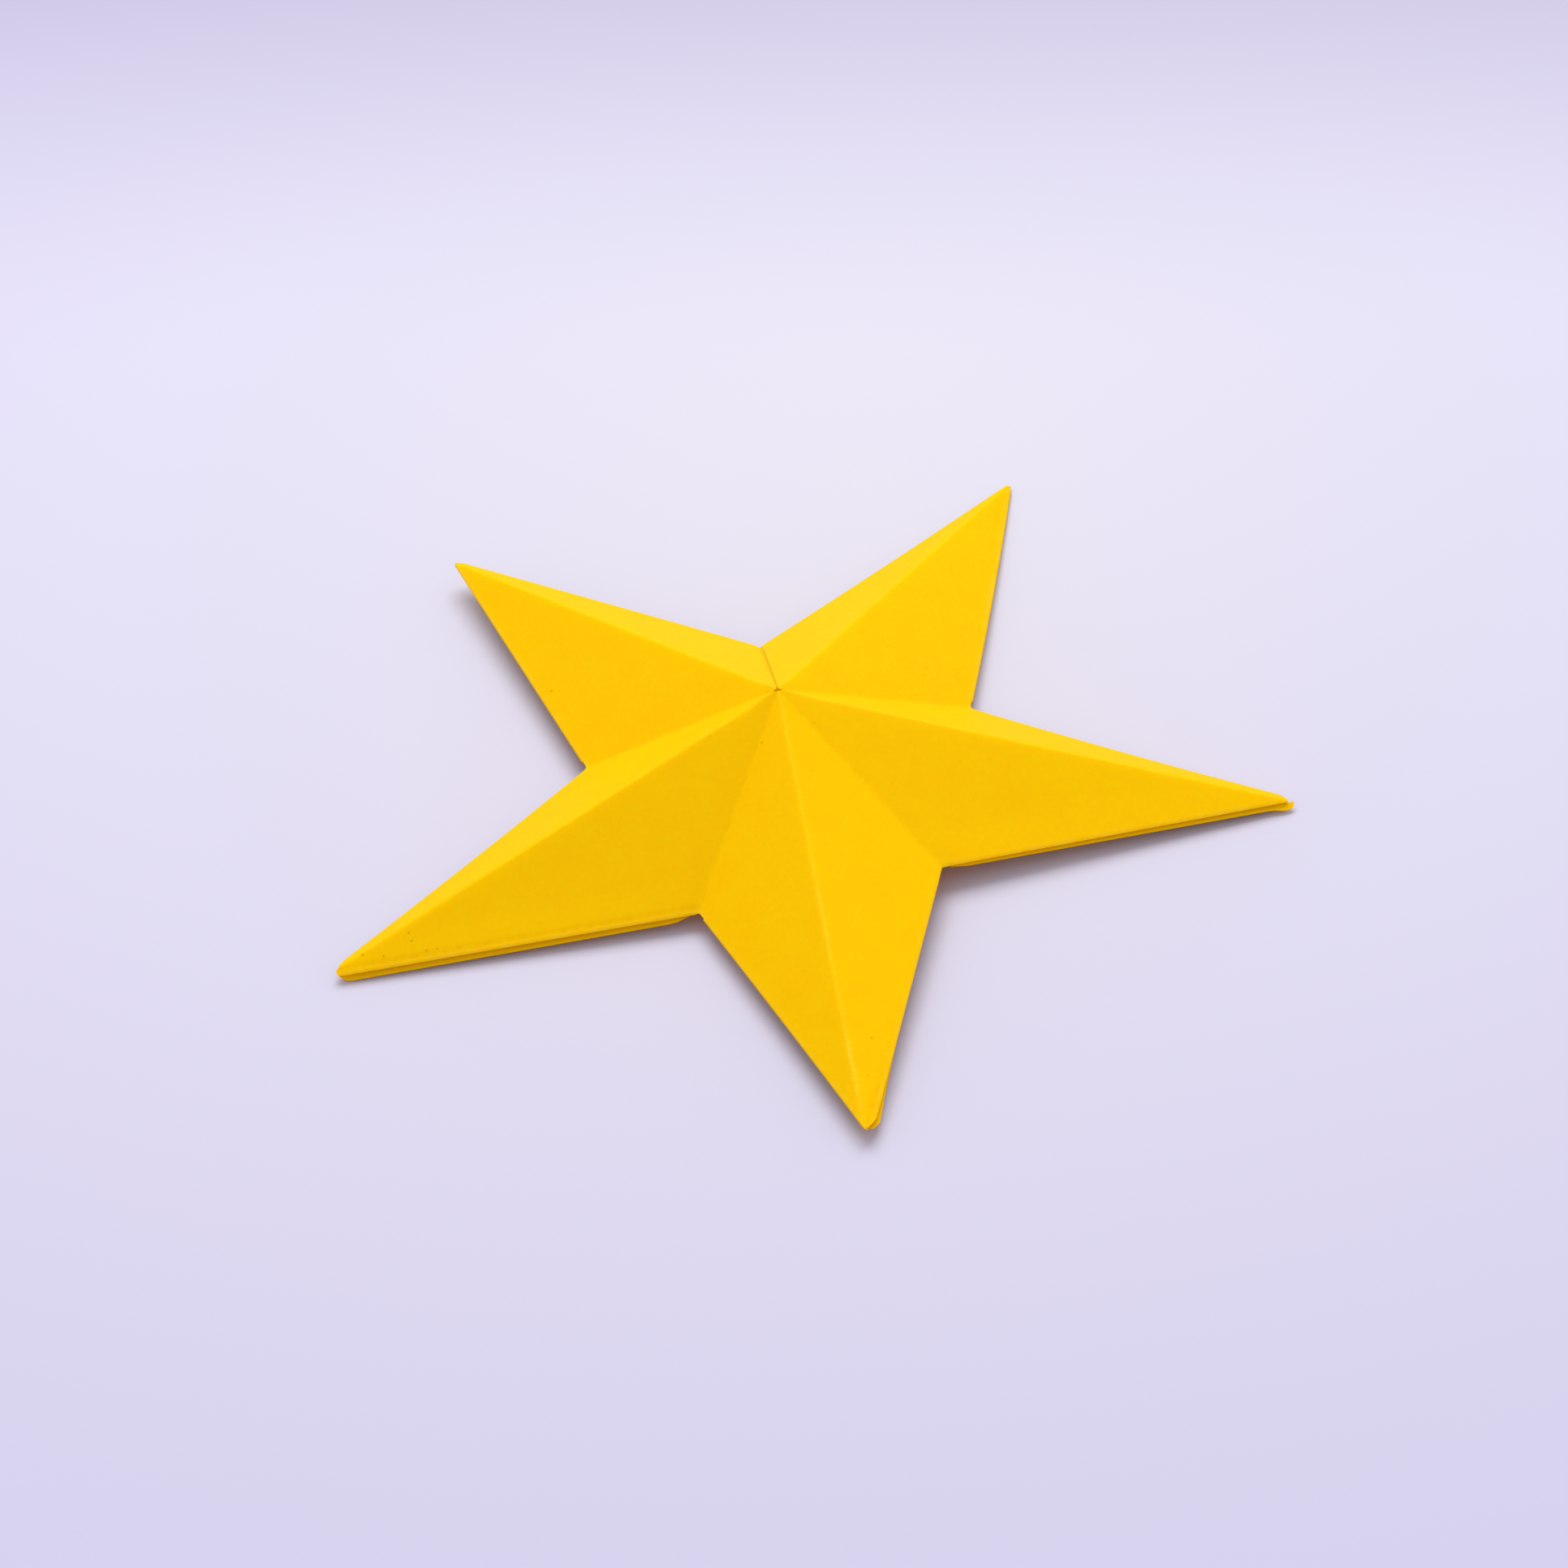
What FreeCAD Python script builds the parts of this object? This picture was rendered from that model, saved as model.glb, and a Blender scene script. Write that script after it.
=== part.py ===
"""Five-pointed star folded from one sheet of yellow paper, lying on its arm tips (millimetres, +Z up).

The sheet makes ten flat facets round a raised middle: a ridge fold runs from the apex to each tip and a
valley fold from the apex to each notch. Its two ends meet along the back valley, where they are glued to
a tab beneath. The border of every arm is folded under as a hem.
"""
import FreeCAD, Part
import Sketcher
import math
import os

SIZES = [
    ("TipRadius", 70.0, "star's middle to the end of an arm, seen from above"),
    ("NotchRadius", 28.6, "star's middle to the inner corner between two arms"),
    ("ApexHeight", 18.7, "height that the folds' middle would have in the lowest layer"),
    ("PaperThickness", 0.25, "one layer of the sheet, square to its face"),
    ("TipWidth", 0.9, "blunt end of an arm"),
    ("HemWidth", 8.0, "border folded under along each side of an arm"),
    ("HemGap", 0.12, "air between a facet and its hem, upright"),
    ("FoldClearance", 1.2, "slit or trimmed end of a hem or tab to the next fold or piece"),
    ("HemPeekRight", 0.9, "how far the right arm's near hem stands out at the tip"),
    ("HemPeekLeft", 0.35, "how far the left arm's near hem stands out at the tip"),
    ("HemPeekFront", 0.45, "how far the front arm's right hem stands out at the tip"),
    ("SeamGapNotch", 0.65, "open seam between the sheet's two ends, at the back notch"),
    ("SeamGapMiddle", 0.28, "the same seam beside the apex"),
    ("TabWidth", 6.0, "glued tab under the seam, on each side of it"),
    ("HoleLength", 1.7, "lens-shaped opening where the folds meet, left to right"),
    ("HoleWidth", 0.7, "the same opening, front to back"),
    ("TipLiftFront", 2.3, "front arm's tip off the table, on the ridge of its lowest layer"),
    ("TipLiftRight", 0.66, "right arm's tip, which rests on its hem's corner"),
    ("TipLiftBackRight", 0.24, "back right arm's tip, which rests on its corners"),
    ("TipLiftBackLeft", 3.5, "back left arm's tip, sprung up"),
    ("TipLiftLeft", 0.42, "left arm's tip, which rests on its hem's corner"),
    ("NotchLiftFrontRight", 3.3, "notch between the front and right arms, off the table"),
    ("NotchLiftRight", 1.3, "notch between the right and back right arms"),
    ("NotchLiftBack", 2.0, "notch at the seam"),
    ("NotchLiftLeft", 2.35, "notch between the back left and left arms"),
    ("NotchLiftFrontLeft", 1.9, "notch between the left and front arms"),
    ("FrontArmShiftRight", 0.45, "both notches of the front arm stand this far to the right"),
    ("FrontArmShiftOut", 0.7, "and this far towards the front"),
]

# The arms anticlockwise from the front, seen from above, each with the notch that follows it.
ARMS = ["Front", "Right", "BackRight", "BackLeft", "Left"]
NOTCHES = ["FrontRight", "Right", "Back", "Left", "FrontLeft"]
SEAM_NOTCH = "Back"
FRONT_ARM_ANGLE = -90.0
ARM_STEP = 360.0 / len(ARMS)

# These hems are not creased tight to their facet: their own edge stands out below it towards the tip.
OPEN_HEMS = {
    ("Right", "clockwise"): "HemPeekRight",
    ("Left", "anticlockwise"): "HemPeekLeft",
    ("Front", "anticlockwise"): "HemPeekFront",
}


def make_sizes(doc):
    """Spreadsheet with one named cell for each size."""
    sizes = doc.addObject("Spreadsheet::Sheet", "Sizes")
    for row, (alias, value, note) in enumerate(SIZES, start=1):
        sizes.set(f"A{row}", alias)
        sizes.set(f"B{row}", str(value))
        sizes.set(f"C{row}", note)
        sizes.setAlias(f"B{row}", alias)
    doc.recompute()
    return sizes


def polar(radius, degrees, height):
    """Point at a radius and an angle round the star's axis."""
    turn = math.radians(degrees)
    return FreeCAD.Vector(radius * math.cos(turn), radius * math.sin(turn), height)


def across(vector, direction):
    """Unit vector of that part of a vector which is square to a direction."""
    return (vector - direction * vector.dot(direction)).normalize()


def layer_height(sizes):
    """Upright height of one layer of paper: its thickness over the cosine of a facet's slope."""
    apex = FreeCAD.Vector(0, 0, sizes.ApexHeight)
    tip = polar(sizes.TipRadius, 0, sizes.TipLiftRight)
    notch = polar(sizes.NotchRadius, ARM_STEP / 2, sizes.NotchLiftBack)
    normal = (tip - apex).cross(notch - apex).normalize()
    return sizes.PaperThickness / abs(normal.z)


class Facet:
    """One flat half of an arm, from the ridge to its outer side, at the height of the lowest layer."""

    def __init__(self, sizes, arm, side):
        index = ARMS.index(arm)
        notch_name = NOTCHES[index] if side == "anticlockwise" else NOTCHES[index - 1]
        tip_angle = FRONT_ARM_ANGLE + ARM_STEP * index
        notch_angle = FRONT_ARM_ANGLE + ARM_STEP * (NOTCHES.index(notch_name) + 0.5)
        self.name = arm + side.capitalize()
        self.beside_seam = notch_name == SEAM_NOTCH
        self.apex = FreeCAD.Vector(0, 0, sizes.ApexHeight)
        self.tip = polar(sizes.TipRadius, tip_angle, sizes.get(f"TipLift{arm}"))
        self.notch = polar(sizes.NotchRadius, notch_angle, sizes.get(f"NotchLift{notch_name}"))
        if notch_name.startswith("Front"):
            self.notch += FreeCAD.Vector(sizes.FrontArmShiftRight, -sizes.FrontArmShiftOut, 0)
        self.ridge = (self.apex - self.tip).normalize()
        self.valley = (self.apex - self.notch).normalize()
        half_tip = across(self.notch - self.tip, self.ridge) * (sizes.TipWidth / 2)
        self.tip_corner = self.tip + half_tip
        self.side = (self.notch - self.tip_corner).normalize()
        self.inward = across(self.apex - self.tip_corner, self.side)
        # Length along the side for each millimetre out from the valley.
        self.side_per_valley = 1 / self.side.cross(self.valley).Length
        clearance = sizes.FoldClearance
        if self.beside_seam:
            clearance += sizes.TabWidth * self.side_per_valley
        self.hem_end = self.notch - self.side * clearance


def add_layer(doc, name, corners, base, height):
    """Flat piece of paper with these corners, raised by base and as thick upright as height.

    Neighbouring facets end on the same upright plane through their fold, so they meet face to face.
    """
    raised = [corner + FreeCAD.Vector(0, 0, base) for corner in corners]
    outline = Part.makePolygon(raised + [raised[0]])
    piece = doc.addObject("Part::Feature", name)
    piece.Shape = Part.Face(outline).extrude(FreeCAD.Vector(0, 0, height))
    return piece


def add_facet(doc, sizes, facet):
    """Top layer of one facet."""
    layer = layer_height(sizes)
    corners = [facet.apex, facet.tip, facet.tip_corner, facet.notch]
    return add_layer(doc, f"Facet{facet.name}", corners, layer + sizes.HemGap, layer)


def add_hem(doc, sizes, facet, peek):
    """Border folded under one facet, slit at the notch and mitred on the ridge."""
    inner_end = facet.hem_end + facet.inward * sizes.HemWidth
    tip_depth = (facet.tip - facet.tip_corner).dot(facet.inward)
    mitre_length = (sizes.HemWidth - tip_depth) / facet.ridge.dot(facet.inward)
    mitre = facet.tip + facet.ridge * mitre_length
    outer = facet.tip_corner - facet.inward * peek
    corners = [facet.tip, outer, facet.hem_end, inner_end, mitre]
    return add_layer(doc, f"Hem{facet.name}", corners, 0, layer_height(sizes))


def add_crease(doc, sizes, facet):
    """Turn of the paper that joins a facet to its hem along the side of the arm."""
    turn = facet.inward * sizes.PaperThickness
    corners = [facet.tip_corner, facet.hem_end, facet.hem_end + turn, facet.tip_corner + turn]
    height = 2 * layer_height(sizes) + sizes.HemGap
    return add_layer(doc, f"Crease{facet.name}", corners, 0, height)


def add_tab(doc, sizes, facet):
    """Half of the tab glued under the seam, beside the back valley, trimmed clear of the ridge."""
    start = facet.apex - facet.valley * sizes.HoleWidth
    ridge_angle = facet.ridge.getAngle(facet.valley)
    trim = sizes.TabWidth / math.tan(ridge_angle) + sizes.FoldClearance
    inner = across(facet.tip - facet.apex, facet.valley) * sizes.TabWidth
    inner_start = facet.apex - facet.valley * trim + inner
    outer_end = facet.notch - facet.side * (sizes.TabWidth * facet.side_per_valley)
    corners = [start, facet.notch, outer_end, inner_start]
    return add_layer(doc, f"Tab{facet.name}", corners, sizes.HemGap, layer_height(sizes))


def add_seam_slot(doc):
    """Tapered slot along the back valley that parts the sheet's two ends."""
    sketch = doc.addObject("Sketcher::SketchObject", "SeamOutline")
    corners = [(-1, 0), (1, 0), (2, 20), (-2, 20)]
    points = [FreeCAD.Vector(x, y, 0) for x, y in corners]
    for index, start in enumerate(points):
        sketch.addGeometry(Part.LineSegment(start, points[(index + 1) % len(points)]))
    for index in range(len(points)):
        sketch.addConstraint(Sketcher.Constraint("Coincident", index, 2, (index + 1) % len(points), 1))
    sketch.addConstraint(Sketcher.Constraint("Symmetric", 0, 1, 0, 2, -1, 1))
    sketch.addConstraint(Sketcher.Constraint("PointOnObject", 0, 1, -1))
    sketch.addConstraint(Sketcher.Constraint("Symmetric", 2, 1, 2, 2, -2))
    bind_distance(sketch, Sketcher.Constraint("DistanceX", 0, 1, 0, 2, 2.0), "MiddleGap", "Sizes.SeamGapMiddle")
    bind_distance(sketch, Sketcher.Constraint("DistanceX", 2, 2, 2, 1, 4.0), "NotchGap", "Sizes.SeamGapNotch")
    length = "Sizes.NotchRadius + Sizes.SeamGapNotch"
    bind_distance(sketch, Sketcher.Constraint("DistanceY", 0, 2, 1, 2, 20.0), "SeamLength", length)
    slot = doc.addObject("Part::Extrusion", "SeamSlot")
    slot.Base = sketch
    slot.DirMode = "Custom"
    slot.Dir = FreeCAD.Vector(0, 0, 1)
    slot.Solid = True
    slot.setExpression("LengthFwd", "2 * Sizes.ApexHeight")
    return slot


def bind_distance(sketch, constraint, name, expression):
    """Add a named distance to a sketch and tie it to the sizes."""
    index = sketch.addConstraint(constraint)
    sketch.renameConstraint(index, name)
    sketch.setExpression(f"Constraints.{name}", expression)


def add_apex_hole(doc):
    """Lens-shaped opening through the apex: where two upright cylinders overlap."""
    radius = "(Sizes.HoleLength ^ 2 + Sizes.HoleWidth ^ 2) / (4 * Sizes.HoleWidth)"
    sides = []
    for name, sign in (("HoleFront", ""), ("HoleBack", "-")):
        cylinder = doc.addObject("Part::Cylinder", name)
        cylinder.setExpression("Radius", radius)
        cylinder.setExpression("Height", "2 * Sizes.ApexHeight")
        cylinder.setExpression(".Placement.Base.y", f"{sign}({radius} - Sizes.HoleWidth / 2)")
        sides.append(cylinder)
    hole = doc.addObject("Part::Common", "ApexHole")
    hole.Base, hole.Tool = sides
    return hole


def make_star(doc, sizes):
    """The whole folded sheet as one solid on the table, with its outline centred on the origin."""
    facets = []
    under_layers = []
    for arm in ARMS:
        for side in ("clockwise", "anticlockwise"):
            facet = Facet(sizes, arm, side)
            facets.append(add_facet(doc, sizes, facet))
            open_hem = OPEN_HEMS.get((arm, side))
            peek = sizes.get(open_hem) if open_hem else 0
            under_layers.append(add_hem(doc, sizes, facet, peek))
            if not open_hem:
                under_layers.append(add_crease(doc, sizes, facet))
            if facet.beside_seam:
                under_layers.append(add_tab(doc, sizes, facet))
    top_layer = doc.addObject("Part::MultiFuse", "TopLayer")
    top_layer.Shapes = facets
    parted = doc.addObject("Part::Cut", "PartedTopLayer")
    parted.Base = top_layer
    parted.Tool = add_seam_slot(doc)
    folded = doc.addObject("Part::MultiFuse", "FoldedSheet")
    folded.Shapes = [parted] + under_layers
    folded.Refine = True
    star = doc.addObject("Part::Cut", "Star")
    star.Base = folded
    star.Tool = add_apex_hole(doc)
    star.Label = "paper_star"
    doc.recompute()
    outline = star.Shape.BoundBox
    star.Placement.Base = FreeCAD.Vector(-outline.Center.x, -outline.Center.y, -outline.ZMin)
    doc.recompute()
    return star


def check(doc, star):
    """Stop if any object failed, or the sheet isn't one sound solid."""
    for item in doc.Objects:
        if "Invalid" in item.State or "Error" in item.State:
            raise RuntimeError(f"{item.Name} failed: {item.State}")
    if star.Shape.isNull() or not star.Shape.isValid():
        raise RuntimeError(f"{star.Label} has no valid shape")
    if len(star.Shape.Solids) != 1:
        raise RuntimeError(f"{star.Label} has {len(star.Shape.Solids)} solids, and one sheet is one solid")


document = FreeCAD.newDocument("PaperStar")
star_sizes = make_sizes(document)
paper_star = make_star(document, star_sizes)
check(document, paper_star)
os.makedirs("parts", exist_ok=True)
paper_star.Shape.exportStep(f"parts/{paper_star.Label}.step")
box = paper_star.Shape.BoundBox
print(f"{paper_star.Label}: {len(paper_star.Shape.Faces)} faces, {paper_star.Shape.Volume:.0f} mm3")
print(f"box {box.XLength:.1f} x {box.YLength:.1f} x {box.ZLength:.1f} mm, lowest {box.ZMin:.3f}")
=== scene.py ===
"""A five-pointed star folded from yellow paper, lying on a plain pale floor."""
import math

import bmesh
import bpy
from mathutils import Matrix, Vector, noise


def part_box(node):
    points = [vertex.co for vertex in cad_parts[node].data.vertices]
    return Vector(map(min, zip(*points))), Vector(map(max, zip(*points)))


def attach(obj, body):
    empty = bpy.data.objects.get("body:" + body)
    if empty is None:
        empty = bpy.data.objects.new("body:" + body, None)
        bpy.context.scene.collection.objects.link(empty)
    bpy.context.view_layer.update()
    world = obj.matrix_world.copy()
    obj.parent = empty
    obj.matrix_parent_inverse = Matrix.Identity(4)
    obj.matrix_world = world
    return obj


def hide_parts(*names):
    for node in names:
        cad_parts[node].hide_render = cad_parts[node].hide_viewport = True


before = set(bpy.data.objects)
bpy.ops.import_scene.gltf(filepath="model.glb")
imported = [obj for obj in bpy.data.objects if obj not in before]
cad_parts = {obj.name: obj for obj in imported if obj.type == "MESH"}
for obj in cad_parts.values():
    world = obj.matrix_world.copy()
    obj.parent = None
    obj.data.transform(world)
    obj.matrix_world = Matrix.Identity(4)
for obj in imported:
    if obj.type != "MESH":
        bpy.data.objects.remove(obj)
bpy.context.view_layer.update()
scene = bpy.context.scene
MM = 0.001

# Camera. It looks down at the star from 0.8 m, a little to the left of the front arm and rolled so that
# the right arm points up and to the right, through a long lens that hardly narrows the far arms.
CAMERA_AZIMUTH = math.radians(-3.3)
CAMERA_ELEVATION = math.radians(42.5)
CAMERA_ROLL = math.radians(-7.8)
CAMERA_DISTANCE = 810 * MM
CAMERA_VIEW = math.radians(15.24)
CAMERA_AIM = Vector((-1.3, -0.2, 8.0)) * MM

camera = bpy.data.objects.new("camera", bpy.data.cameras.new("camera"))
scene.collection.objects.link(camera)
scene.camera = camera
camera.data.angle = CAMERA_VIEW
camera_turn = (
    Matrix.Rotation(CAMERA_AZIMUTH, 4, "Z")
    @ Matrix.Rotation(math.pi / 2 - CAMERA_ELEVATION, 4, "X")
    @ Matrix.Rotation(CAMERA_ROLL, 4, "Z")
)
camera_back = camera_turn.to_3x3() @ Vector((0, 0, 1))
camera.matrix_world = Matrix.Translation(CAMERA_AIM + camera_back * CAMERA_DISTANCE) @ camera_turn

# Folded sheet. One piece of dyed yellow paper makes the ten facets of the star: a ridge fold runs from the
# apex to each tip, a valley fold to each notch, and its two ends meet in an open seam along the back valley.
# Its border is folded under and creased flat on seven of the ten sides of the arms.
# Sizes are in millimetres: X to the right, Y away from the front arm, Z up.
TIP_RADIUS = 70.0
NOTCH_RADIUS = 28.6
APEX_HEIGHT = 18.7
PAPER_THICKNESS = 0.25
HEM_GAP = 0.12
HEM_WIDTH = 8.0
HEM_CLEARANCE = 1.2
TAB_WIDTH = 6.0
HOLE_LENGTH = 2.1
HOLE_WIDTH = 0.42
SEAM_GAP_NOTCH = 0.7
SEAM_GAP_MIDDLE = 0.3
ARMS = ("front", "right", "back_right", "back_left", "left")
ARM_STEP = 360 / len(ARMS)
TIP_LIFTS = {"front": 2.3, "right": 0.66, "back_right": 0.24, "back_left": 3.5, "left": 0.42}
NOTCH_LIFTS = {"front": 3.3, "right": 1.3, "back_right": 2.0, "back_left": 2.35, "left": 1.9}
# Folded by hand, each tip and notch lies a little off its mark, and some rims bow.
TIP_SHIFTS = {
    "front": Vector((-0.6, 0, 0)), "right": Vector((-0.1, 0.7, 0.35)), "back_right": Vector((0, 0, 0)),
    "back_left": Vector((0.15, 0, 0.3)), "left": Vector((0.6, 0.5, 1.0)),
}
NOTCH_SHIFTS = {
    "front": Vector((0.8, -1.5, 0)), "right": Vector((0.15, -0.45, 0)), "back_right": Vector((0, 0, 0)),
    "back_left": Vector((-0.65, 0, 0)), "left": Vector((0.4, -0.7, 0)),
}
RIM_BOWS = {
    ("front", "clockwise"): Vector((0.12, 0.05, 0.05)), ("back_right", "clockwise"): Vector((0.25, 0, 0)),
    ("right", "anticlockwise"): Vector((0, -0.1, -0.2)), ("left", "clockwise"): Vector((0.1, -0.1, -0.1)),
    ("back_right", "anticlockwise"): Vector((0, -0.1, -0.15)),
}
# A tip is blunt: how wide each half of it is, how far that half ends behind the ridge, and how round it is.
TIP_HALF_WIDTH = 0.45
TIP_HALF_WIDTHS = {
    ("front", "clockwise"): 0.15, ("front", "anticlockwise"): 1.9, ("left", "clockwise"): 1.2,
    ("left", "anticlockwise"): 0.8, ("back_left", "clockwise"): 1.6, ("back_right", "clockwise"): 0.8,
    ("right", "anticlockwise"): 2.6,
}
TIP_SETBACKS = {
    ("front", "anticlockwise"): 1.5, ("left", "anticlockwise"): -1.6, ("right", "anticlockwise"): 0.7,
}
TIP_ROUNDINGS = {"front": 1.0, "right": 0.8, "back_right": 1.2, "back_left": 1.2, "left": 2.2}
TIP_SHARE = 0.08
# An open hem starts at a share of its side, looks out past the rim by its peek, which fades away from the
# tip, lies lower than a closed one by its drop, and at the tip reaches past the ridge's end or tucks in.
OPEN_HEMS = {
    ("right", "clockwise"): {
        "start": 0.0, "peek": 0.6, "fade": 60.0, "drop": 0.1, "reach": 0.8, "tuck": -0.4,
    },
    ("left", "anticlockwise"): {
        "start": 0.03, "peek": 0.7, "fade": 200.0, "drop": 0.1, "reach": 0.0, "tuck": 0.8,
    },
    ("front", "anticlockwise"): {
        "start": 0.035, "peek": 0.85, "fade": 11.0, "drop": 0.35, "reach": 0.3, "tuck": 0.0,
    },
}
TUCK_LENGTH = 2.5
PEEK_END = 0.9
DROP_END = 0.6
SCORE_LENGTHS = {("left", "anticlockwise"): 200.0, ("front", "anticlockwise"): 18.0}
FACET_SLOPE = math.radians(34.5)
STACK = 2 * PAPER_THICKNESS / math.cos(FACET_SLOPE) + HEM_GAP
FACET_CUTS = 47
HEM_ROWS = 6
RIDGE_ROUNDING = 0.32
VALLEY_ROUNDING = 0.12
BLUNT_LENGTH = 4.0
SEAM_SHARPNESS = 6
SPRING_LIFT = 0.12
SPRING_WIDTH = 6.0
SPRING_END = 3.0
SCORE_DISTANCE = 0.95
SCORE_WIDTH = 0.2
SCORE_DEPTH = 0.08
ROLL_WIDTH = 0.4
ROLL_DROP = 0.12
WAVE_HEIGHT = 0.09
WAVE_LENGTH = 14.0
WAVE_MARGIN = 5.0
WRAP_STEPS = 6
SHARP_TURN = math.radians(50)

# The part's box is centred on the floor, and its front end is the front arm's outer hem corner.
OUTER_HEM_CORNER = 70.077
star_low, star_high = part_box("paper_star")
AXIS_Y = star_low[1] / MM + OUTER_HEM_CORNER


def polar(radius, degrees, height):
    """Point round the star's axis, in millimetres."""
    turn = math.radians(degrees)
    return Vector((radius * math.cos(turn), radius * math.sin(turn) + AXIS_Y, height))


def square_to(vector, direction):
    """Unit vector of the part of a vector that is square to a direction."""
    return (vector - direction * vector.dot(direction)).normalized()


def off_line(point, start, direction):
    """Distance of a point from a line."""
    return (point - start).cross(direction).length


def ramp(value, low, high):
    """Smooth step from 0 at low to 1 at high."""
    share = min(max((value - low) / (high - low), 0), 1)
    return share * share * (3 - 2 * share)


def bump_at(value, middle, width):
    """Bell curve that is 1 at the middle."""
    return math.exp(-(((value - middle) / width) ** 2))


def towards_ends(value):
    """Draw a share between 0 and 1 towards its ends, so that folds and rims get finer faces."""
    return (value + 2 * ramp(value, 0, 1)) / 3


def lens_radius(degrees):
    """Distance from the middle of the apex opening to its outline."""
    turn = math.radians(degrees)
    arc = (HOLE_LENGTH**2 + HOLE_WIDTH**2) / (4 * HOLE_WIDTH)
    offset = arc - HOLE_WIDTH / 2
    return math.sqrt(arc**2 - (offset * math.cos(turn)) ** 2) - offset * abs(math.sin(turn))


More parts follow.
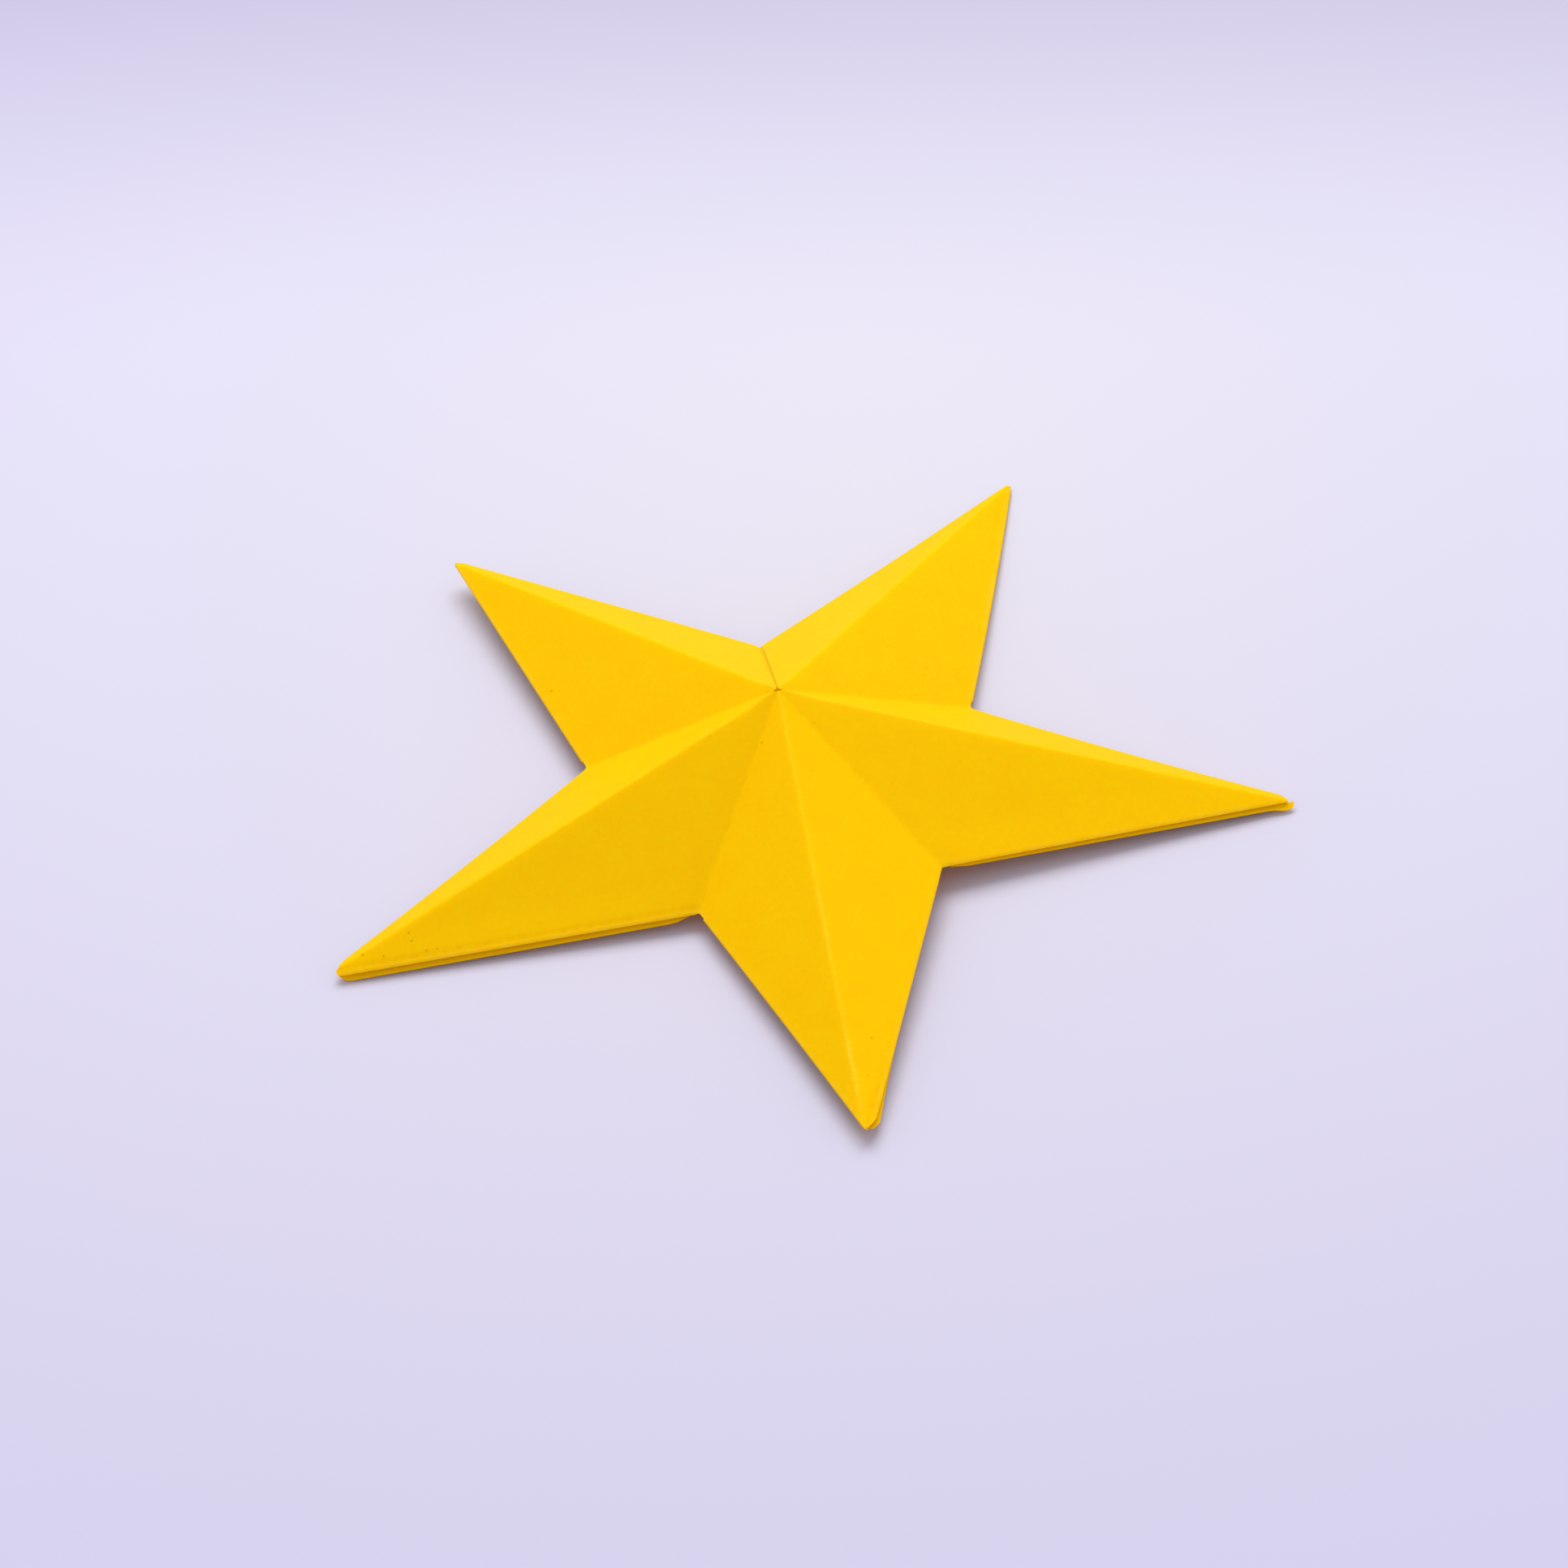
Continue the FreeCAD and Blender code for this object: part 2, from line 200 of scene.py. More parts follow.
class Facet:
    """One half of an arm: its corners on the paper's top side, directions on it, and its real shape."""

    def __init__(self, arm, side):
        index = ARMS.index(arm)
        notch_arm = arm if side == "anticlockwise" else ARMS[index - 1]
        half_turn = ARM_STEP / 2 if side == "anticlockwise" else -ARM_STEP / 2
        self.name = (arm, side)
        self.tip_angle = -90 + ARM_STEP * index
        self.notch_angle = self.tip_angle + half_turn
        self.apex = polar(0, 0, APEX_HEIGHT + STACK)
        self.tip = polar(TIP_RADIUS, self.tip_angle, TIP_LIFTS[arm] + STACK)
        self.notch = polar(NOTCH_RADIUS, self.notch_angle, NOTCH_LIFTS[notch_arm] + STACK)
        self.notch += NOTCH_SHIFTS[notch_arm]
        self.tip += TIP_SHIFTS[arm]
        self.normal = (self.tip - self.apex).cross(self.notch - self.apex).normalized()
        if self.normal.z < 0:
            self.normal.negate()
        self.stack = STACK * self.normal.z
        self.ridge = (self.apex - self.tip).normalized()
        self.valley = (self.apex - self.notch).normalized()
        half_width = TIP_HALF_WIDTHS.get(self.name, TIP_HALF_WIDTH)
        self.tip_corner = self.tip + square_to(self.notch - self.tip, self.ridge) * half_width
        self.tip_corner += self.ridge * TIP_SETBACKS.get(self.name, 0)
        self.side = (self.notch - self.tip_corner).normalized()
        self.inward = square_to(self.apex - self.tip_corner, self.side)
        self.side_length = (self.notch - self.tip_corner).length
        self.rounding = TIP_ROUNDINGS[arm]
        self.bow = RIM_BOWS.get(self.name, Vector())
        self.open_hem = OPEN_HEMS.get(self.name)
        self.score_length = SCORE_LENGTHS.get(self.name, 0)
        self.beside_seam = self.notch_angle % 360 == 90
        self.side_per_valley = 1 / self.side.cross(self.valley).length
        end_gap = HEM_CLEARANCE + (TAB_WIDTH * self.side_per_valley if self.beside_seam else 0)
        self.hem_end = 1 - end_gap / self.side_length
        self.ridge_lean = self.valley_lean = self.normal

    def on_plane(self, point):
        """The point moved straight up or down onto the facet."""
        return point - Vector((0, 0, (point - self.apex).dot(self.normal) / self.normal.z))

    def rim(self, across):
        """Point of the outline, from the ridge's end at 0 round the blunt corner to the notch at 1."""
        side_start = self.tip_corner + self.side * self.rounding
        if across > TIP_SHARE:
            share = (across - TIP_SHARE) / (1 - TIP_SHARE)
            return side_start.lerp(self.notch, share) + self.bow * (4 * share * (1 - share))
        share = across / TIP_SHARE
        first = self.tip.lerp(self.tip_corner, share)
        return first.lerp(self.tip_corner.lerp(side_start, share), share)

    def rim_inward(self, across):
        """Direction into the facet at a point of the outline: along the ridge at the blunt end."""
        return self.ridge.lerp(self.inward, ramp(across, 0, TIP_SHARE)).normalized()

    def hem_depth(self, across):
        """How far a hem reaches in from a point of the outline, before its mitre beside the ridge."""
        to_ridge = off_line(self.rim(across), self.tip, self.ridge) / self.side.dot(self.ridge)
        return min(HEM_WIDTH, max(to_ridge - TIP_HALF_WIDTH, TIP_HALF_WIDTH / 2))

    def scored(self, point):
        """How strongly the line beside the rim is scored at a point: it fades away from the tip."""
        from_tip = (point - self.tip_corner).dot(self.side)
        return bump_at(from_tip, 0, self.score_length) if self.score_length else 0

    def flat_point(self, across, out):
        """Point of the flat facet: across from ridge to valley, out from the opening to the outline."""
        turn = self.tip_angle + (self.notch_angle - self.tip_angle) * across
        start = self.on_plane(polar(lens_radius(turn), turn, 0))
        return start.lerp(self.rim(across), out)

    def shaped_point(self, across, out):
        """The same point on the real paper, with its rounded folds, seam and rims, and slight waves."""
        point = self.flat_point(across, out)
        from_ridge = off_line(point, self.tip, self.ridge)
        from_valley = off_line(point, self.notch, self.valley)
        from_side = max((point - self.tip_corner).dot(self.inward), 0)
        wave = noise.noise(point / WAVE_LENGTH) * WAVE_HEIGHT
        lift = wave * ramp(min(from_ridge, from_valley, from_side), 0, WAVE_MARGIN)
        blunt = ramp((point - self.apex).length, HOLE_LENGTH / 2, BLUNT_LENGTH)
        point -= self.ridge_lean * (blunt * (math.hypot(from_ridge, RIDGE_ROUNDING) - from_ridge))
        if self.beside_seam:
            gap = SEAM_GAP_MIDDLE + (SEAM_GAP_NOTCH - SEAM_GAP_MIDDLE) * out
            point += square_to(self.tip - self.apex, self.valley) * (gap / 2 * across**SEAM_SHARPNESS)
        else:
            point += self.valley_lean * (blunt * (math.hypot(from_valley, VALLEY_ROUNDING) - from_valley))
        if self.open_hem:
            lift += SPRING_LIFT * (1 - ramp(from_side, 0, SPRING_WIDTH)) * ramp(from_valley, 0, SPRING_END)
            lift -= SCORE_DEPTH * bump_at(from_side, SCORE_DISTANCE, SCORE_WIDTH) * self.scored(point)
            lift -= ROLL_DROP * max(0, 1 - from_side / ROLL_WIDTH) ** 2
        else:
            point += self.rim_inward(across) * (self.stack / 2 * math.exp(-from_side))
        return point + self.normal * lift


def fold_lean(facet, neighbour):
    """Direction square to the fold between two facets, as long as the sine of half the fold's turn."""
    half_turn = facet.normal.angle(neighbour.normal) / 2
    return (facet.normal + neighbour.normal).normalized() * math.sin(half_turn)


facets = [Facet(arm, side) for arm in ARMS for side in ("clockwise", "anticlockwise")]
for index, facet in enumerate(facets):
    ring = len(facets)
    step = 1 if facet.name[1] == "clockwise" else -1
    facet.ridge_lean = fold_lean(facet, facets[(index + step) % ring])
    facet.valley_lean = fold_lean(facet, facets[(index - step) % ring])


def turn_between(first, second):
    """Angle from one direction to another, in degrees, without its sign."""
    return abs((first - second + 180) % 360 - 180)


def direction_of(point):
    """Angle of a point round the upright axis, in degrees."""
    return math.degrees(math.atan2(point.y, point.x))


bm = bmesh.new()
fold_map = bm.loops.layers.uv.new("fold")
facet_layer = bm.faces.layers.int.new("facet")
bmesh.ops.create_circle(bm, segments=len(facets), radius=TIP_RADIUS)
bmesh.ops.create_circle(bm, segments=len(facets), radius=HOLE_LENGTH)
first_turn = direction_of(next(iter(bm.verts)).co)
to_front = Matrix.Rotation(math.radians(facets[0].tip_angle - first_turn), 3, "Z")
bmesh.ops.rotate(bm, verts=bm.verts[:], matrix=to_front)
bmesh.ops.bridge_loops(bm, edges=bm.edges[:])
for face in bm.faces:
    middle = direction_of(face.calc_center_median())
    offsets = [turn_between(middle, (facet.tip_angle + facet.notch_angle) / 2) for facet in facets]
    number = offsets.index(min(offsets))
    face[facet_layer] = number
    for loop in face.loops:
        on_ridge = turn_between(direction_of(loop.vert.co), facets[number].tip_angle) < 1
        loop[fold_map].uv = (0 if on_ridge else 1, 0 if loop.vert.co.length < TIP_RADIUS / 2 else 1)
seam = [edge for edge in bm.edges if all(turn_between(direction_of(v.co), 90) < 1 for v in edge.verts)]
bmesh.ops.split_edges(bm, edges=seam)
bmesh.ops.subdivide_edges(bm, edges=bm.edges[:], cuts=FACET_CUTS, use_grid_fill=True)

# How far each vertex of the sheet shows the wear of the nearest ridge and rim, the darkening of the nearest
# valley and scored line, which is partly crease mark and partly painted shade, and the painted slot shade,
# which is nil on the sheet.
MARKS = ("ridge_wear", "valley_crease", "rim_wear", "scored_line", "unfaded")
RIDGE_WEAR = {"front": 0.14, "right": 0.08, "back_right": 0.0, "back_left": 0.0, "left": 0.08}
FRONT_RUBS = ((0.86, 0.06, 0.7), (0.52, 0.07, 0.4))
RIDGE_MARK_WIDTH = 0.24
VALLEY_SHADE_WIDTH = 0.2
RIM_MARK_WIDTH = 0.5
SCORE_SHADE_WIDTH = 0.25
TIP_FADE = 0.08
ON_RIM = 0.9999


def ridge_wear(arm, out):
    """How worn the ridge of an arm is at a share of the way out to the tip."""
    rubs = FRONT_RUBS if arm == "front" else ()
    wear = RIDGE_WEAR[arm] + sum(strength * bump_at(out, middle, width) for middle, width, strength in rubs)
    return wear * ramp(1 - out, 0, TIP_FADE)


mark_layers = [bm.verts.layers.float.new(name) for name in MARKS]
rim_spots = {}
for vert in bm.verts:
    places = []
    marks = [0] * len(MARKS)
    for loop in vert.link_loops:
        facet = facets[loop.face[facet_layer]]
        across, out = (towards_ends(share) for share in loop[fold_map].uv)
        flat = facet.flat_point(across, out)
        from_side = (flat - facet.tip_corner).dot(facet.inward)
        arm = facet.name[0]
        found = (
            bump_at(off_line(flat, facet.tip, facet.ridge), 0, RIDGE_MARK_WIDTH) * ridge_wear(arm, out),
            bump_at(off_line(flat, facet.notch, facet.valley), 0, VALLEY_SHADE_WIDTH),
            bump_at(from_side, 0, RIM_MARK_WIDTH),
            bump_at(from_side, SCORE_DISTANCE, SCORE_SHADE_WIDTH) * facet.scored(flat),
            0,
        )
        marks = [max(pair) for pair in zip(marks, found)]
        places.append(facet.shaped_point(across, out))
        if out > ON_RIM:
            rim_spots.setdefault(vert, {})[facet.name] = (facet, across)
    vert.co = sum(places, Vector()) / len(places)
    for layer, mark in zip(mark_layers, marks):
        vert[layer] = mark


def extrude_rim(edges, spots):
    """Extrude edges once. Return the new edges, and the rim spot that each new vertex grew from."""
    made = bmesh.ops.extrude_edge_only(bm, edges=edges)["geom"]
    new_verts = [item for item in made if isinstance(item, bmesh.types.BMVert)]
    new_edges = [item for item in made if isinstance(item, bmesh.types.BMEdge)]
    grown = {}
    for vert in new_verts:
        old = next(edge.other_vert(vert) for edge in vert.link_edges if edge.other_vert(vert) in spots)
        grown[vert] = spots[old]
    return [edge for edge in new_edges if all(vert in grown for vert in edge.verts)], grown


for arm in ARMS:
    closed = [facet for facet in facets if facet.name[0] == arm and not facet.open_hem]
    names = {facet.name for facet in closed}
    spots = {}
    for vert, found in rim_spots.items():
        own = [spot for name, spot in found.items() if name in names]
        if own and all(across < facet.hem_end for facet, across in own):
            inward = sum((facet.rim_inward(across) for facet, across in own), Vector()).normalized()
            up = sum((facet.normal for facet, across in own), Vector()).normalized()
            depth = min(facet.hem_depth(across) for facet, across in own)
            bulge = ramp(own[0][1], 0, TIP_SHARE) if len(closed) == 1 else 1
            spots[vert] = (vert.co.copy(), inward, up, own[0][0].stack, depth, bulge)
    edges = [
        edge for edge in bm.edges
        if edge.is_boundary and all(vert in spots for vert in edge.verts)
    ]
    for step in range(1, WRAP_STEPS + 1):
        edges, spots = extrude_rim(edges, spots)
        turn = math.pi * step / WRAP_STEPS
        for vert, (start, inward, up, stack, depth, bulge) in spots.items():
            reach = math.sin(turn) * stack / 2 * bulge
            drop = (1 - math.cos(turn)) * stack / 2
            vert.co = start - inward * reach - up * drop
    for step in range(1, HEM_ROWS + 1):
        edges, spots = extrude_rim(edges, spots)
        for vert, (start, inward, up, stack, depth, bulge) in spots.items():
            vert.co = start + inward * (depth * step / HEM_ROWS) - up * stack


def finish_paper(name, bm):
    """Turn a bmesh of single paper faces, in millimetres, into a piece with its thickness."""
    bmesh.ops.scale(bm, verts=bm.verts[:], vec=Vector((MM, MM, MM)))
    for face in bm.faces:
        face.smooth = True
    mesh = bpy.data.meshes.new(name)
    bm.to_mesh(mesh)
    bm.free()
    piece = bpy.data.objects.new(name, mesh)
    scene.collection.objects.link(piece)
    wall = piece.modifiers.new("paper thickness", "SOLIDIFY")
    wall.thickness = PAPER_THICKNESS * MM
    wall.offset = -1
    thick = bpy.data.meshes.new_from_object(piece.evaluated_get(bpy.context.evaluated_depsgraph_get()))
    piece.modifiers.clear()
    piece.data = thick
    thick.set_sharp_from_angle(angle=SHARP_TURN)
    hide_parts("paper_star")
    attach(piece, "root")
    return piece


bmesh.ops.recalc_face_normals(bm, faces=bm.faces[:])
if sum(face.normal.z * face.calc_area() for face in bm.faces) < 0:
    bmesh.ops.reverse_faces(bm, faces=bm.faces[:])
folded_sheet = finish_paper("folded_sheet", bm)


# Material of the paper. Construction paper, dyed through and pressed matt: short fibres make a fine
# mottling, light glows through it a little, and its worn creases show paler fibre. Its valleys and scored
# lines are darkened, partly as crease marks and partly as painted shade, and the seam tab is darkened as
# painted shade where it shows in the slot.
def linear(hex_colour):
    """Linear colour of an sRGB hex value."""
    channels = [int(hex_colour[i:i + 2], 16) / 255 for i in (1, 3, 5)]
    return [c / 12.92 if c <= 0.04045 else ((c + 0.055) / 1.055) ** 2.4 for c in channels] + [1]


def add_node(tree, kind, settings=None, links=None):
    """Add a shader node, set its properties and sockets, and link its inputs."""
    node = tree.nodes.new(kind)
    for name, value in (settings or {}).items():
        if isinstance(name, str) and hasattr(node, name):
            setattr(node, name, value)
        else:
            node.inputs[name].default_value = value
    for name, source in (links or {}).items():
        tree.links.new(source, node.inputs[name])
    return node


def mixed(tree, share, first, second):
    """Mix two colours, each a linear colour or the output of a node, by a share from a node."""
    node = tree.nodes.new("ShaderNodeMix")
    node.data_type = "RGBA"
    tree.links.new(share, node.inputs[0])
    for socket, colour in ((node.inputs[6], first), (node.inputs[7], second)):
        if isinstance(colour, list):
            socket.default_value = colour
        else:
            tree.links.new(colour, socket)
    return node.outputs[2]


def stretched(tree, value, low, high, strength):
    """Turn a value between low and high into a share from 0 to strength."""
    settings = {"From Min": low, "From Max": high, "To Min": 0, "To Max": strength}
    return add_node(tree, "ShaderNodeMapRange", settings, {"Value": value}).outputs[0]


def times(tree, first, second):
    """Multiply the outputs of two nodes."""
    return add_node(tree, "ShaderNodeMath", {"operation": "MULTIPLY"}, {0: first, 1: second}).outputs[0]


PAPER_YELLOW = linear("#ffd900")
DEEP_YELLOW = linear("#ffcb00")
WORN_YELLOW = linear("#ffe648")
# Dark brown of valley creases and scored lines: partly crushed fibre, partly painted shade in the fold and
# the groove.
CREASE_SHADE_BROWN = linear("#c98200")
SPECK_BROWN = linear("#8f4d00")
# Painted shade: the darker yellow that the seam tab's crease shows down the open slot.
SLOT_SHADE_YELLOW = linear("#e8cb00")
GLOW_YELLOW = linear("#ffcc00")
FIBRE_SIZE = 0.7
CLOUD_SIZE = 4.5
WEAR_SIZE = 1.2
RAGGED_SIZE = 0.35
# Each mix starts at the first value, is full at the second, and has the third as its strength.
FIBRE_MIX = (0.35, 0.65, 0.55)
CLOUD_MIX = (0.4, 0.7, 0.3)
SLOT_SHADE_MIX = (0, 1, 0.75)
WORN_MIX = (0.38, 0.62, 1.0)
RIM_MIX = (0, 1, 0.35)
VALLEY_SHADE_MIX = (0.5, 0.62, 0.18)
SCORE_SHADE_MIX = (0, 1, 0.3)
SPECK_STRENGTH = 0.75
FIBRE_RELIEF = 0.02
PAPER_ROUGHNESS = 0.62
PAPER_SHEEN = 0.03
GLOW_SHARE = 0.34
# Each speck has its arm and side, its shares of the way across and out, and its width.
SPECKS = (
    ("left", "anticlockwise", 0.02, 0.94, 0.5), ("left", "anticlockwise", 0.11, 0.94, 0.45),
    ("left", "anticlockwise", 0.24, 0.95, 0.5), ("left", "anticlockwise", 0.27, 0.95, 0.35),
    ("left", "anticlockwise", 0.07, 0.85, 0.4), ("left", "anticlockwise", 0.13, 0.89, 0.4),
    ("left", "anticlockwise", 0.13, 0.16, 0.35), ("front", "anticlockwise", 0.18, 0.88, 0.45),
    ("front", "anticlockwise", 0.08, 0.91, 0.35), ("back_left", "anticlockwise", 0.65, 0.93, 0.55),
    ("front", "clockwise", 0.94, 0.22, 0.4), ("right", "clockwise", 0.94, 0.19, 0.35),
)

paper = bpy.data.materials.new("dyed construction paper")
paper.use_nodes = True
tree = paper.node_tree
tree.nodes.clear()
place = add_node(tree, "ShaderNodeTexCoord").outputs["Object"]
# The fibres are about 0.03 mm thick: they are drawn as clumps of 0.7 mm, which is what the eye makes out.
fibres = add_node(
    tree, "ShaderNodeTexNoise", {"Scale": 1 / (FIBRE_SIZE * MM), "Detail": 3, "Roughness": 0.65},
    {"Vector": place},
).outputs[0]
clouds = add_node(
    tree, "ShaderNodeTexNoise", {"Scale": 1 / (CLOUD_SIZE * MM), "Detail": 2}, {"Vector": place}
).outputs[0]
wear = add_node(
    tree, "ShaderNodeTexNoise", {"Scale": 1 / (WEAR_SIZE * MM), "Detail": 4, "Roughness": 0.7},
    {"Vector": place},
).outputs[0]
marks = {
    name: add_node(tree, "ShaderNodeAttribute", {"attribute_name": name}).outputs[2] for name in MARKS
}
ragged = add_node(
    tree, "ShaderNodeTexNoise", {"Scale": 1 / (RAGGED_SIZE * MM), "Detail": 2}, {"Vector": place}
).outputs["Color"]
from_middle = add_node(
    tree, "ShaderNodeVectorMath", {"operation": "SUBTRACT", 1: (0.5, 0.5, 0.5)}, {0: ragged}
).outputs[0]
ragged_place = add_node(
    tree, "ShaderNodeVectorMath", {"operation": "MULTIPLY_ADD", 1: (RAGGED_SIZE * MM,) * 3},
    {0: from_middle, 2: place},
).outputs[0]
colour = mixed(tree, stretched(tree, fibres, *FIBRE_MIX), PAPER_YELLOW, DEEP_YELLOW)
colour = mixed(tree, stretched(tree, clouds, *CLOUD_MIX), colour, DEEP_YELLOW)
# Painted shade: the seam tab is darkened where it shows in the slot.
colour = mixed(tree, stretched(tree, marks["unfaded"], *SLOT_SHADE_MIX), colour, SLOT_SHADE_YELLOW)
worn = stretched(tree, wear, *WORN_MIX)
colour = mixed(tree, times(tree, marks["ridge_wear"], worn), colour, WORN_YELLOW)
rim_share = stretched(tree, marks["rim_wear"], *RIM_MIX)
colour = mixed(tree, times(tree, rim_share, worn), colour, WORN_YELLOW)
# Valley folds darken along a broken line: partly a crease mark, partly painted shade in the fold.
broken = stretched(tree, wear, *VALLEY_SHADE_MIX)
colour = mixed(tree, times(tree, marks["valley_crease"], broken), colour, CREASE_SHADE_BROWN)
# Scored lines darken too: partly crushed fibre, partly painted shade in their groove.
score_shade_share = stretched(tree, marks["scored_line"], *SCORE_SHADE_MIX)
colour = mixed(tree, times(tree, score_shade_share, worn), colour, CREASE_SHADE_BROWN)
for arm, side, across, out, size in SPECKS:
    facet = next(f for f in facets if f.name == (arm, side))
    spot = facet.shaped_point(across, out) * MM
    gap = add_node(
        tree, "ShaderNodeVectorMath", {"operation": "DISTANCE", 1: spot}, {0: ragged_place}
    ).outputs["Value"]
    colour = mixed(tree, stretched(tree, gap, size / 2 * MM, 0, SPECK_STRENGTH), colour, SPECK_BROWN)
relief = add_node(
    tree, "ShaderNodeBump", {"Strength": 0.25, "Distance": FIBRE_RELIEF * MM}, {"Height": fibres}
).outputs[0]
matt = add_node(
    tree, "ShaderNodeBsdfPrincipled", {"Roughness": PAPER_ROUGHNESS, "Specular IOR Level": PAPER_SHEEN},
    {"Base Color": colour, "Normal": relief},
)
glow = add_node(tree, "ShaderNodeBsdfTranslucent", {"Color": GLOW_YELLOW}, {"Normal": relief})
both = add_node(tree, "ShaderNodeMixShader", {"Fac": GLOW_SHARE}, {1: matt.outputs[0], 2: glow.outputs[0]})
add_node(tree, "ShaderNodeOutputMaterial", {}, {"Surface": both.outputs[0]})
folded_sheet.data.materials.append(paper)

# Open hems. On three sides of the arms the folded border has sprung a little way open and looks out from
# under the facet as a second layer. They are the same paper.
HEM_COLUMNS = 48
for facet in facets:
    if not facet.open_hem:
        continue
    bm = bmesh.new()
    bmesh.ops.create_grid(bm, x_segments=HEM_COLUMNS, y_segments=HEM_ROWS, size=0.5)
    for vert in bm.verts:
        along = vert.co.x + 0.5
        inside = vert.co.y + 0.5
        start = facet.open_hem["start"]
        across = start + towards_ends(along) * (facet.hem_end - start)
        rim = facet.rim(across)
        from_tip = (rim - facet.tip_corner).dot(facet.side)
        peek = facet.open_hem["peek"] * math.exp(-max(from_tip, 0) / facet.open_hem["fade"])
        peek *= ramp(across, 0, TIP_SHARE) * (1 - ramp(along, PEEK_END, 1))
        peek -= facet.open_hem["tuck"] * (1 - ramp(from_tip, 0, TUCK_LENGTH))
        reach = facet.open_hem["reach"] * (1 - ramp(across, TIP_SHARE / 4, TIP_SHARE))
        depth = facet.hem_depth(across) + peek
        below = facet.stack + facet.open_hem["drop"] * (1 - ramp(along, DROP_END, 1))
        vert.co = rim + facet.inward * (depth * inside - peek) - facet.ridge * reach - facet.normal * below
    bmesh.ops.recalc_face_normals(bm, faces=bm.faces[:])
    if next(iter(bm.faces)).normal.z > 0:
        bmesh.ops.reverse_faces(bm, faces=bm.faces[:])
    hem = finish_paper("open_hem_" + facet.name[0], bm)
    hem.data.materials.append(paper)

# Seam tab. The sheet's two ends are joined by a strip of the same paper, creased along its middle and glued
# to them from below. It closes the seam, and only its crease shows through the open gap, where its colour is
# darkened as painted shade in the slot.
TAB_CUTS = 12
bm = bmesh.new()
# The whole tab is marked for the painted shade, though only its crease shows in the slot.
unfaded = bm.verts.layers.float.new("unfaded")
bmesh.ops.create_grid(bm, x_segments=2 * TAB_CUTS, y_segments=2 * TAB_CUTS, size=1)
for vert in bm.verts:
    vert[unfaded] = 1
    facet = next(f for f in facets if f.beside_seam and (f.name[0] == "back_right") == (vert.co.x > 0))
    from_valley = abs(vert.co.x) * TAB_WIDTH
    sideways = square_to(facet.tip - facet.apex, facet.valley)
    trim = TAB_WIDTH / math.tan(facet.ridge.angle(facet.valley)) + HEM_CLEARANCE
    start_along = HOLE_WIDTH + (trim - HOLE_WIDTH) * abs(vert.co.x)
    start = facet.apex - facet.valley * start_along + sideways * from_valley
    end = facet.notch - facet.side * (from_valley * facet.side_per_valley)
    crease = facet.valley_lean * (math.hypot(from_valley, VALLEY_ROUNDING) - from_valley)
    vert.co = start.lerp(end, (vert.co.y + 1) / 2) + crease - facet.normal * PAPER_THICKNESS
bmesh.ops.recalc_face_normals(bm, faces=bm.faces[:])
if next(iter(bm.faces)).normal.z < 0:
    bmesh.ops.reverse_faces(bm, faces=bm.faces[:])
seam_tab = finish_paper("seam_tab", bm)
seam_tab.data.materials.append(paper)

# Floor. A plain sheet of pale lavender board, far wider than the star. Its colour is lightest in a painted
# pool of light just behind the star, and is painted darker further back as painted shade.
FLOOR_REACH = 3.0
FADE_TURN = math.radians(15)
# Painted light and shade on the floor: a lighter pool round a spot just behind the star, and a darker colour
# further back.
PAINTED_LIGHT_SPOT = (0, 0.08, 0)
LIGHT_SPOT_RADIUS = 0.3
FAR_SHADE_START = 0.1
FAR_SHADE_END = 0.28
LIT_SPOT_LAVENDER = linear("#c4c2cb")
COOL_LAVENDER = linear("#bbb7cf")
FAR_SHADE_LAVENDER = linear("#9a94ab")
floor_bm = bmesh.new()
bmesh.ops.create_grid(floor_bm, x_segments=1, y_segments=1, size=FLOOR_REACH)
floor_mesh = bpy.data.meshes.new("floor")
floor_bm.to_mesh(floor_mesh)
floor_bm.free()
floor = bpy.data.objects.new("floor", floor_mesh)
scene.collection.objects.link(floor)
board = bpy.data.materials.new("pale lavender board")
board.use_nodes = True
tree = board.node_tree
tree.nodes.clear()
place = add_node(tree, "ShaderNodeTexCoord").outputs["Object"]
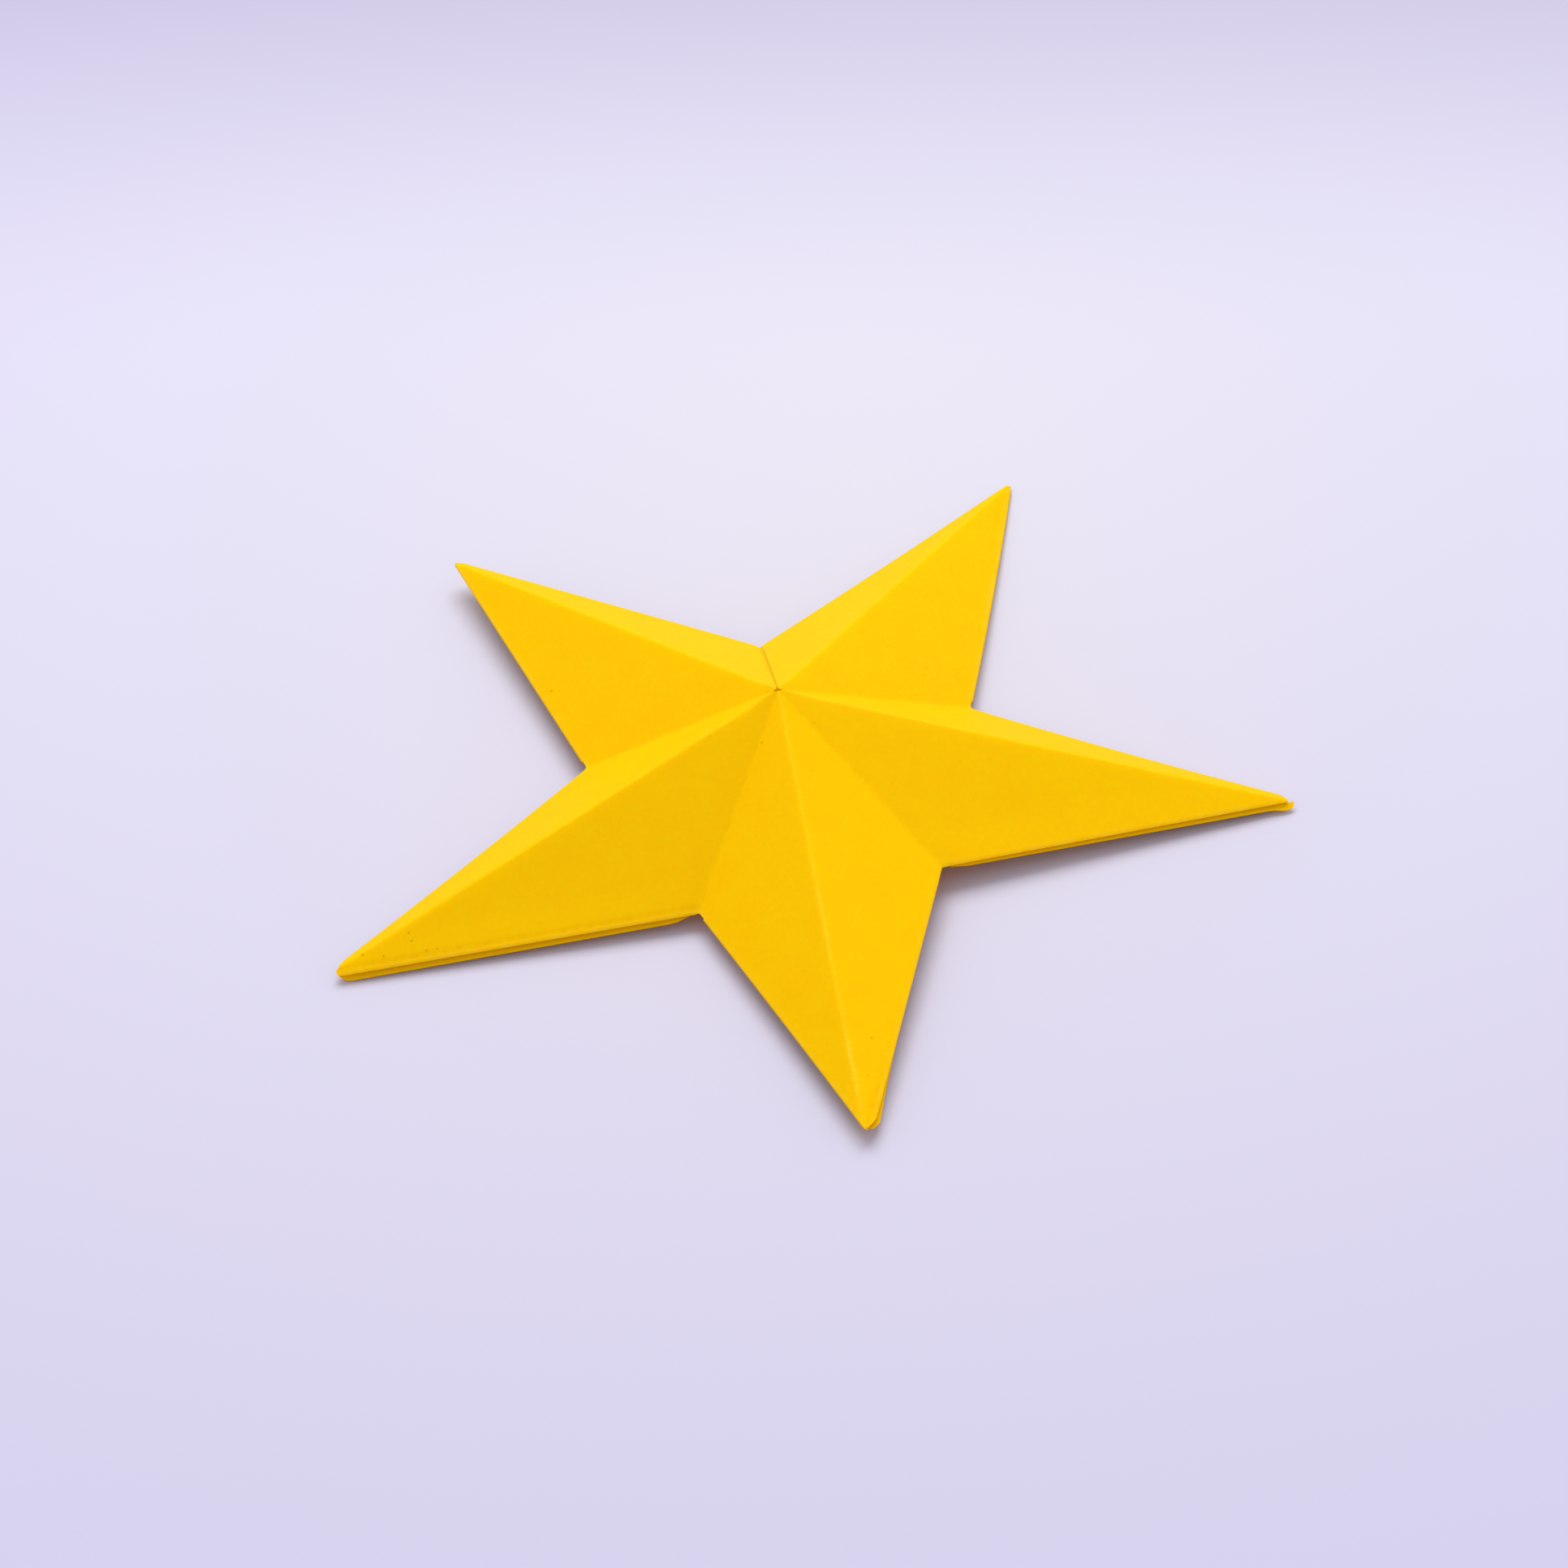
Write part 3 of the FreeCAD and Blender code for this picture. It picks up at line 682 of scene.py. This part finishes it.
settings = {"Location": (0, 0, 0), "Rotation": (0, 0, FADE_TURN)}
turned = add_node(tree, "ShaderNodeMapping", settings, {"Vector": place}).outputs[0]
back = add_node(tree, "ShaderNodeSeparateXYZ", {}, {0: turned}).outputs["Y"]
# Painted light: the colour is lightest near the spot and eases to the plain lavender at its radius.
gap = add_node(
    tree, "ShaderNodeVectorMath", {"operation": "DISTANCE", 1: PAINTED_LIGHT_SPOT}, {0: turned}
).outputs["Value"]
colour = mixed(tree, stretched(tree, gap, 0, LIGHT_SPOT_RADIUS, 1), LIT_SPOT_LAVENDER, COOL_LAVENDER)
# Painted shade: further back the floor is painted darker.
settings = {"interpolation_type": "SMOOTHSTEP", "From Min": FAR_SHADE_START, "From Max": FAR_SHADE_END}
far = add_node(tree, "ShaderNodeMapRange", settings, {"Value": back}).outputs[0]
colour = mixed(tree, far, colour, FAR_SHADE_LAVENDER)
matt_board = add_node(tree, "ShaderNodeBsdfDiffuse", {}, {"Color": colour})
add_node(tree, "ShaderNodeOutputMaterial", {}, {"Surface": matt_board.outputs[0]})
floor.data.materials.append(board)

# Light. A wide soft box above and behind the star, and an even pale surround.
BOX_PLACE = Vector((0.09, 0.49, 0.87))
BOX_WIDTH = 0.9
BOX_DEPTH = 0.7
BOX_WATTS = 9.3
SURROUND_STRENGTH = 0.86
SURROUND_WHITE = linear("#f4f2fa")
box_light = bpy.data.lights.new("soft box", "AREA")
box_light.shape = "RECTANGLE"
box_light.size = BOX_WIDTH
box_light.size_y = BOX_DEPTH
box_light.energy = BOX_WATTS
box_lamp = bpy.data.objects.new("soft box", box_light)
box_lamp.location = BOX_PLACE
box_lamp.rotation_euler = (-BOX_PLACE).to_track_quat("-Z", "Y").to_euler()
scene.collection.objects.link(box_lamp)
world = bpy.data.worlds.new("pale surround")
world.use_nodes = True
surround = world.node_tree.nodes["Background"]
surround.inputs["Color"].default_value = SURROUND_WHITE
surround.inputs["Strength"].default_value = SURROUND_STRENGTH
scene.world = world

scene.view_settings.view_transform = "Standard"
